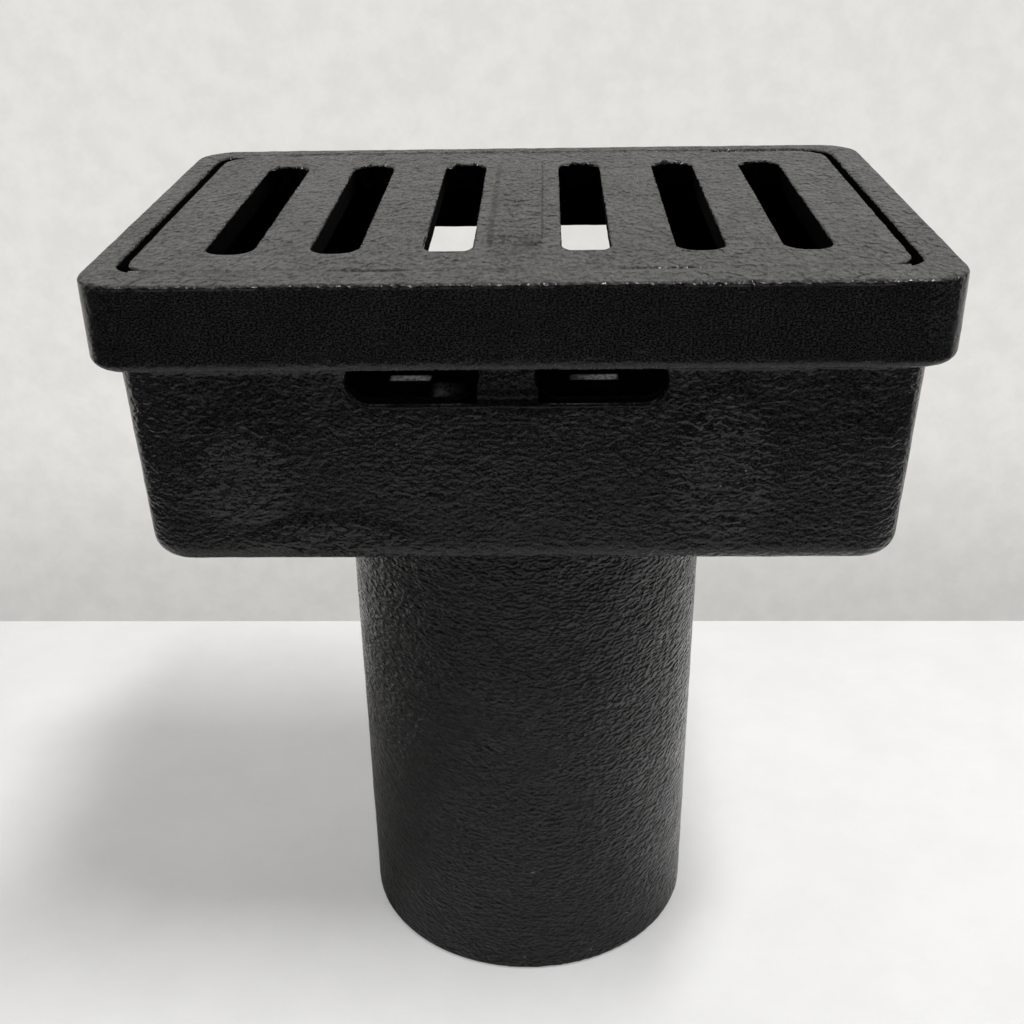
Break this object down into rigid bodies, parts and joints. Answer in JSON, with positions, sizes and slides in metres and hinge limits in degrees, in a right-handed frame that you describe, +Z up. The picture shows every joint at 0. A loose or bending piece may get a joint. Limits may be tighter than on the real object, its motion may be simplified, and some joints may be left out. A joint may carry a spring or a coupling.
{
  "type": "deck drain",
  "caption": "Cast-iron deck drain: a rectangular rimmed hopper with weep slots and a round outlet pipe, and a loose slotted grate that lies flush in its rim.",
  "frame": {"origin": "centre of the outlet pipe's lower end, which is the bottom of the part", "axes": "+Z up along the outlet pipe, +X along the rim's long side, +Y towards the back"},
  "size_m": [0.3, 0.218, 0.3362],
  "materials": {
    "painted_casting": "black bituminous paint over a rough sand-cast skin",
    "painted_grate": "black bituminous paint over a rough sand-cast skin, dusted on top"
  },
  "bodies": {
    "root": {"body_casting": "painted_casting", "grate": "painted_grate"}
  },
  "joints": []
}
